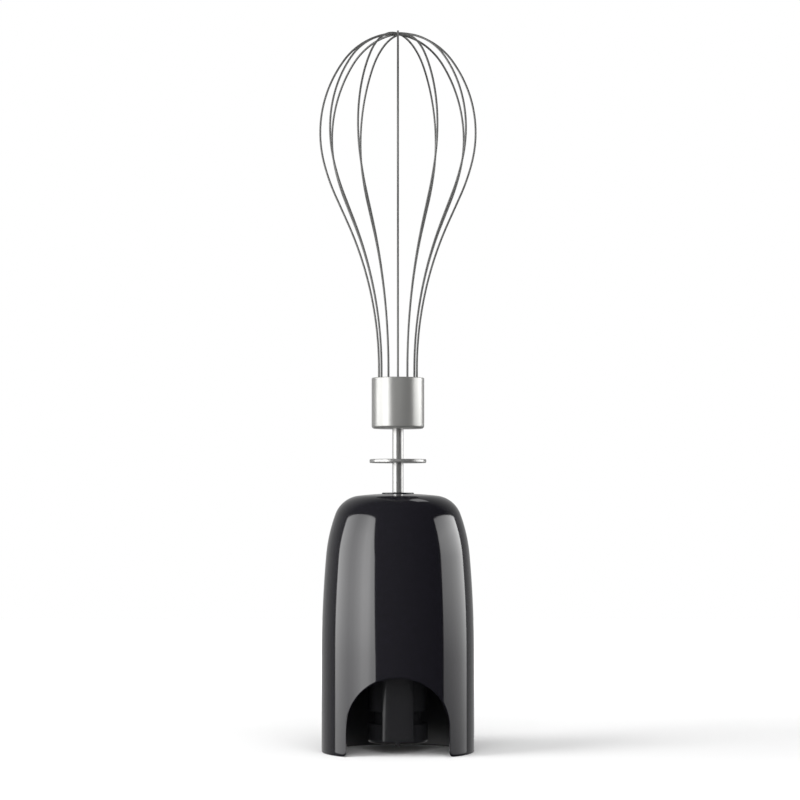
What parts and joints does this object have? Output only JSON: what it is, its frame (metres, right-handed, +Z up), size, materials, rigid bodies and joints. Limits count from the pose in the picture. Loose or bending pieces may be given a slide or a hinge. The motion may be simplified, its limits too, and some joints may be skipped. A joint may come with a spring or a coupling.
{
  "type": "hand blender whisk attachment",
  "caption": "Balloon whisk of bent wires on a steel shaft with a splash disc, standing in its glossy reduction-gear housing with an arched window and a keyed coupling collar.",
  "frame": {"origin": "centre of the housing's base rim, on the plane it stands on", "axes": "+Z up along the whisk's axis, -Y towards the front with the arched window, +X to the right seen from the front"},
  "size_m": [0.0688, 0.069, 0.3139],
  "materials": {
    "housing_plastic": "high gloss black moulding",
    "collar_plastic": "gloss black moulding",
    "seal_plastic": "black, lightly polished",
    "gear_plastic": "natural acetal",
    "case_plastic": "dark grey moulding",
    "socket_plastic": "black moulding",
    "gasket_rubber": "black rubber",
    "bearing_bronze": "sintered bronze",
    "screw_steel": "zinc plated",
    "gear_steel": "machined steel",
    "carrier_steel": "stamped steel",
    "spindle_steel": "turned steel",
    "shaft_steel": "polished stainless bar",
    "ferrule_steel": "satin stainless",
    "disc_steel": "satin stainless",
    "wire_steel": "polished stainless wire",
    "plug_plastic": "grey potting"
  },
  "bodies": {
    "gearbox_housing": {"outer_housing": "housing_plastic", "coupling_collar": "collar_plastic", "ring_gear": "gear_plastic", "case_gasket": "gasket_rubber", "gearbox_cover": "case_plastic", "input_bush": "bearing_bronze", "output_bush_lower": "bearing_bronze", "output_bush_upper": "bearing_bronze", "crown_seal": "seal_plastic", "case_screw_1": "screw_steel", "case_screw_2": "screw_steel", "case_screw_3": "screw_steel"},
    "drive_input": {"drive_socket": "socket_plastic", "drive_shaft": "gear_steel", "sun_gear": "gear_steel"},
    "output_carrier": {"carrier_lower_plate": "carrier_steel", "carrier_upper_plate": "carrier_steel", "planet_pin_1": "gear_steel", "planet_pin_2": "gear_steel", "planet_pin_3": "gear_steel", "carrier_washer": "carrier_steel", "output_spindle": "spindle_steel", "grip_ring": "gasket_rubber"},
    "planet_1": {"planet_gear_1": "gear_plastic"},
    "planet_2": {"planet_gear_2": "gear_plastic"},
    "planet_3": {"planet_gear_3": "gear_plastic"},
    "whisk": {"whisk_shaft": "shaft_steel", "splash_disc": "disc_steel", "ferrule": "ferrule_steel", "ferrule_plug": "plug_plastic", "wire_loop_1": "wire_steel", "wire_loop_2": "wire_steel", "wire_loop_3": "wire_steel", "wire_loop_4": "wire_steel", "wire_loop_5": "wire_steel", "wire_loop_6": "wire_steel"}
  },
  "joints": [
    {"name": "output_spin", "type": "hinge", "parent": "gearbox_housing", "child": "output_carrier", "pos_m": [0, 0, 0.06], "axis": [0, 0, 1], "continuous": true},
    {"name": "drive_spin", "type": "hinge", "parent": "gearbox_housing", "child": "drive_input", "pos_m": [0, 0, 0.03], "axis": [0, 0, 1], "continuous": true},
    {"name": "planet_1_spin", "type": "hinge", "parent": "output_carrier", "child": "planet_1", "pos_m": [0.0135, 0, 0.053], "axis": [0, 0, 1], "continuous": true},
    {"name": "planet_2_spin", "type": "hinge", "parent": "output_carrier", "child": "planet_2", "pos_m": [-0.00675, 0.01169, 0.053], "axis": [0, 0, 1], "continuous": true},
    {"name": "planet_3_spin", "type": "hinge", "parent": "output_carrier", "child": "planet_3", "pos_m": [-0.00675, -0.01169, 0.053], "axis": [0, 0, 1], "continuous": true},
    {"name": "whisk_pull", "type": "slide", "parent": "output_carrier", "child": "whisk", "axis": [0, 0, 1], "range_m": [0, 0.055]}
  ],
  "couplings": [
    {"joint": "drive_spin", "follows": "output_spin", "ratio": 6},
    {"joint": "planet_1_spin", "follows": "output_spin", "ratio": -2.5},
    {"joint": "planet_2_spin", "follows": "output_spin", "ratio": -2.5},
    {"joint": "planet_3_spin", "follows": "output_spin", "ratio": -2.5}
  ]
}
